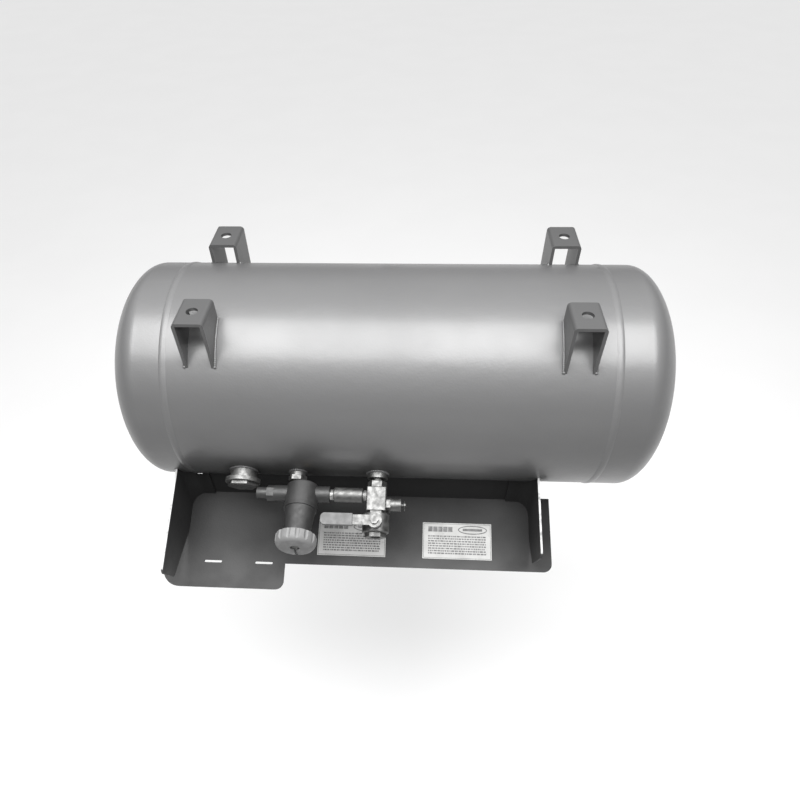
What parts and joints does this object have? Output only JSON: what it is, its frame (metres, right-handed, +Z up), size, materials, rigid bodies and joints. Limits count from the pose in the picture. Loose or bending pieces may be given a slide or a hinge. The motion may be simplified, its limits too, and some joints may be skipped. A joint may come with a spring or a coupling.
{
  "type": "air receiver tank",
  "caption": "Horizontal compressed-air receiver on channel hanger feet, with a sloping guard tray under its ports, pressure regulator, relief valve and ball valve.",
  "frame": {"origin": "centre of the four hanger bolt holes, on the top faces of the feet", "axes": "+X along the receiver, -Y the side with the ports and the guard, +Z up"},
  "size_m": [0.7514, 0.4191, 0.3698],
  "materials": {
    "tank_paint": "satin grey enamel",
    "seam_paint": "satin grey enamel over weld",
    "foot_paint": "satin grey enamel",
    "guard_paint": "dark grey enamel",
    "plated_steel": "bright zinc plate",
    "brass": "turned",
    "regulator_black": "black epoxy",
    "bonnet_black": "moulded black",
    "knob_grey": "moulded light grey",
    "spring_steel": "spring wire",
    "rubber_black": "matt",
    "seat_white": "soft seat plastic",
    "grip_grey": "dipped vinyl",
    "label_white": null,
    "chrome": "polished ball"
  },
  "bodies": {
    "receiver": {"bottom_plug": "brass", "caution_label": "label_white", "diaphragm": "rubber_black", "diaphragm_plate": "plated_steel", "foot_front_left": "foot_paint", "foot_front_right": "foot_paint", "foot_rear_left": "foot_paint", "foot_rear_right": "foot_paint", "girth_weld_left": "seam_paint", "girth_weld_right": "seam_paint", "gland_nut": "plated_steel", "guard_back": "guard_paint", "guard_floor": "guard_paint", "guard_side_left": "guard_paint", "guard_side_right": "guard_paint", "head_left": "tank_paint", "head_right": "tank_paint", "inlet_seat": "seat_white", "inspection_plug": "plated_steel", "manifold_block": "plated_steel", "outlet_adapter": "regulator_black", "outlet_boss": "plated_steel", "outlet_bushing": "plated_steel", "outlet_nipple": "plated_steel", "outlet_seat": "seat_white", "plug_boss": "plated_steel", "plug_seal": "rubber_black", "poppet_spring": "spring_steel", "rating_label": "label_white", "regulating_spring": "spring_steel", "regulator_body": "regulator_black", "regulator_bonnet": "bonnet_black", "relief_body": "plated_steel", "relief_cap": "brass", "relief_spring": "spring_steel", "shell": "tank_paint", "spare_boss": "plated_steel", "spare_plug": "plated_steel", "stem_packing": "rubber_black", "supply_coupling": "plated_steel", "supply_nipple_left": "plated_steel", "supply_nipple_right": "plated_steel", "valve_body": "plated_steel", "valve_retainer": "plated_steel"},
    "knob": {"regulator_knob": "knob_grey", "adjusting_screw": "plated_steel", "knob_screw": "plated_steel"},
    "spring_nut": {"spring_nut": "brass"},
    "poppet": {"poppet": "brass"},
    "relief_stem": {"relief_stem": "brass"},
    "pull_ring": {"pull_ring": "plated_steel"},
    "valve_lever": {"lever": "plated_steel", "lever_grip": "grip_grey", "lever_nut": "plated_steel", "valve_stem": "plated_steel", "ball": "chrome"}
  },
  "joints": [
    {"name": "knob_turn", "type": "hinge", "parent": "receiver", "child": "knob", "pos_m": [-0.116, -0.22939, -0.25282], "axis": [0, 0.9903, 0.1392], "range_deg": [0, 720]},
    {"name": "nut_slide", "type": "slide", "parent": "receiver", "child": "spring_nut", "axis": [0, 0.9903, 0.1392], "range_m": [0, 0.003], "deforming": ["regulating_spring"]},
    {"name": "poppet_slide", "type": "slide", "parent": "receiver", "child": "poppet", "axis": [0, 0.9903, 0.1392], "range_m": [0, 0.002], "stiffness_N_per_m": 1500, "springref_m": -0.001, "deforming": ["poppet_spring"]},
    {"name": "relief_slide", "type": "slide", "parent": "receiver", "child": "relief_stem", "axis": [1, 0, 0], "range_m": [0, 0.0015], "stiffness_N_per_m": 4000, "springref_m": -0.002, "deforming": ["relief_spring"]},
    {"name": "ring_swing", "type": "hinge", "parent": "relief_stem", "child": "pull_ring", "pos_m": [0.0241, -0.17718, -0.24902], "axis": [0, -0.9063, -0.4226], "range_deg": [-15, 95]},
    {"name": "lever_turn", "type": "hinge", "parent": "receiver", "child": "valve_lever", "pos_m": [-0.0137, -0.20165, -0.26043], "axis": [0, -0.4226, 0.9063], "range_deg": [0, 90]}
  ],
  "couplings": [
    {"joint": "nut_slide", "follows": "knob_turn", "m_per_rad": 0.00023873}
  ]
}
